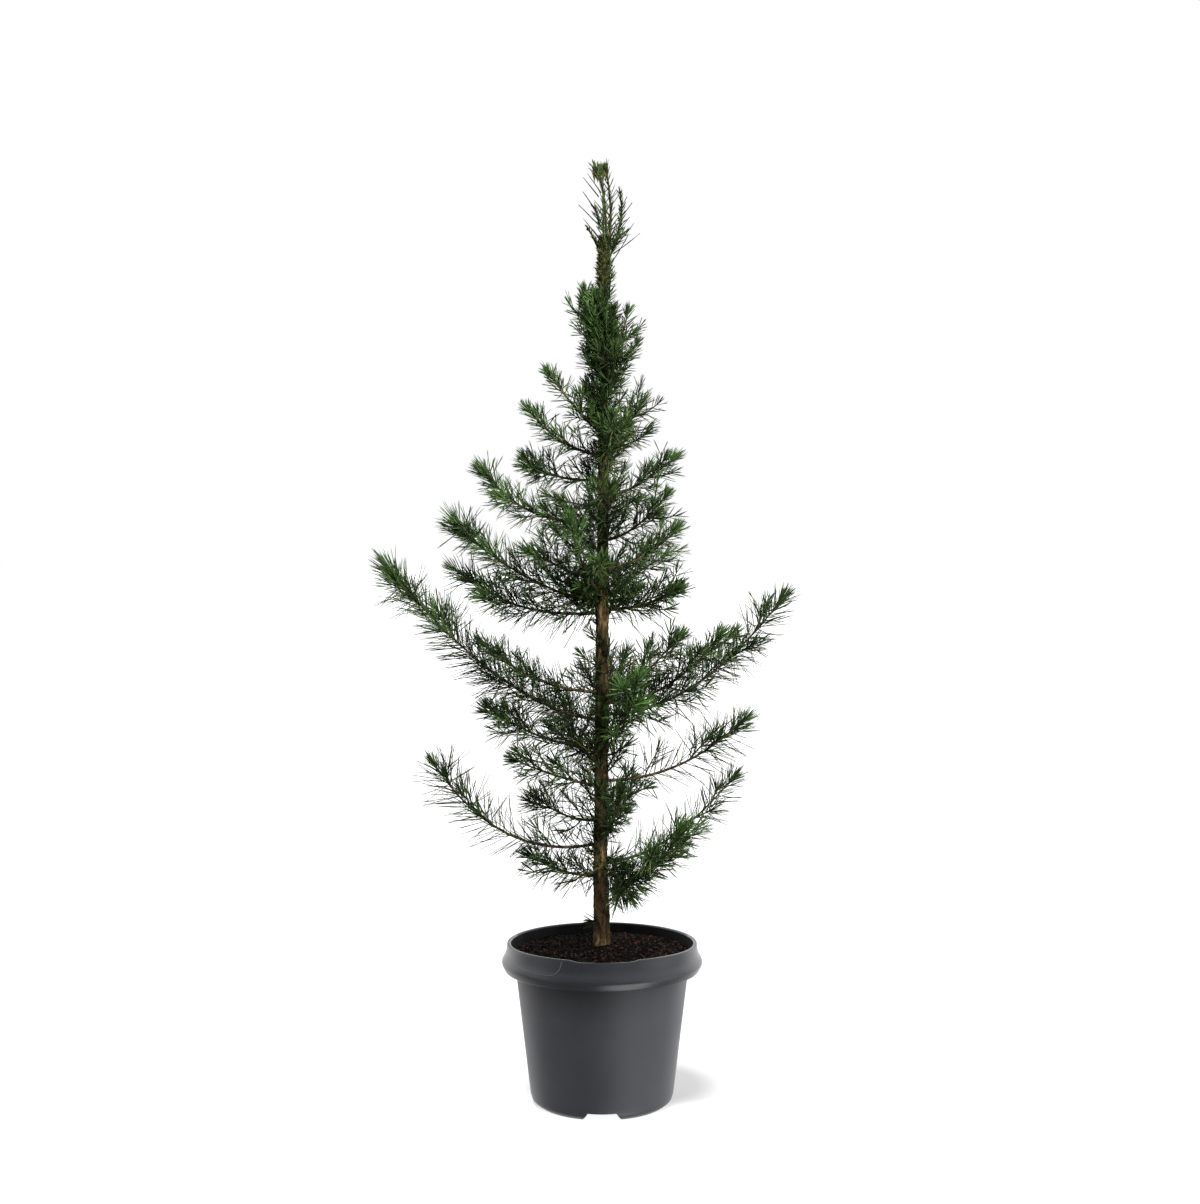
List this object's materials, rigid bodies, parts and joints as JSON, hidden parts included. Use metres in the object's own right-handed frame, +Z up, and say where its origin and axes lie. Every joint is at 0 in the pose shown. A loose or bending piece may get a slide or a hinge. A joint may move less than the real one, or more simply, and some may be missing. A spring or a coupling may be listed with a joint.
{
  "type": "potted pine tree",
  "caption": "Young Aleppo pine in a round nursery pot: tapering trunk, upturned boughs and open, feathery masses of long needles.",
  "frame": {"origin": "centre of the pot's flat underside", "axes": "+Z up along the trunk, -Y towards the front, +X to the right seen from the front"},
  "size_m": [0.4301, 0.2475, 0.9271],
  "materials": {
    "pot_plastic": "dark grey, satin, moulded",
    "soil": "moist, crumbly potting soil with bark flecks",
    "trunk_bark": "rough, olive to tan bark",
    "bough_bark": "rough, thin bark",
    "needles": "dark green needles, brighter at the shoot tips"
  },
  "bodies": {
    "root": {"pot": "pot_plastic", "soil": "soil", "trunk": "trunk_bark", "bough_left_11": "bough_bark", "bough_left_2": "bough_bark", "bough_left_5": "bough_bark", "bough_left_6": "bough_bark", "bough_left_7": "bough_bark", "bough_left_8": "bough_bark", "bough_left_9": "bough_bark", "bough_right_1": "bough_bark", "bough_right_2": "bough_bark", "bough_right_3": "bough_bark", "bough_right_4": "bough_bark", "bough_right_5": "bough_bark", "foliage_back_1": "needles", "foliage_back_2": "needles", "foliage_back_3": "needles", "foliage_back_4": "needles", "foliage_back_5": "needles", "foliage_back_6": "needles", "foliage_back_7": "needles", "foliage_front_1": "needles", "foliage_front_2": "needles", "foliage_front_3": "needles", "foliage_front_4": "needles", "foliage_front_5": "needles", "foliage_front_6": "needles", "foliage_front_7": "needles", "foliage_leader": "needles", "foliage_left_1": "needles", "foliage_left_10": "needles", "foliage_left_11": "needles", "foliage_left_12": "needles", "foliage_left_13": "needles", "foliage_left_14": "needles", "foliage_left_15": "needles", "foliage_left_2": "needles", "foliage_left_3": "needles", "foliage_left_4": "needles", "foliage_left_5": "needles", "foliage_left_6": "needles", "foliage_left_7": "needles", "foliage_left_8": "needles", "foliage_left_9": "needles", "foliage_right_1": "needles", "foliage_right_10": "needles", "foliage_right_11": "needles", "foliage_right_12": "needles", "foliage_right_2": "needles", "foliage_right_3": "needles", "foliage_right_4": "needles", "foliage_right_5": "needles", "foliage_right_6": "needles", "foliage_right_7": "needles", "foliage_right_8": "needles", "foliage_right_9": "needles"}
  },
  "joints": []
}
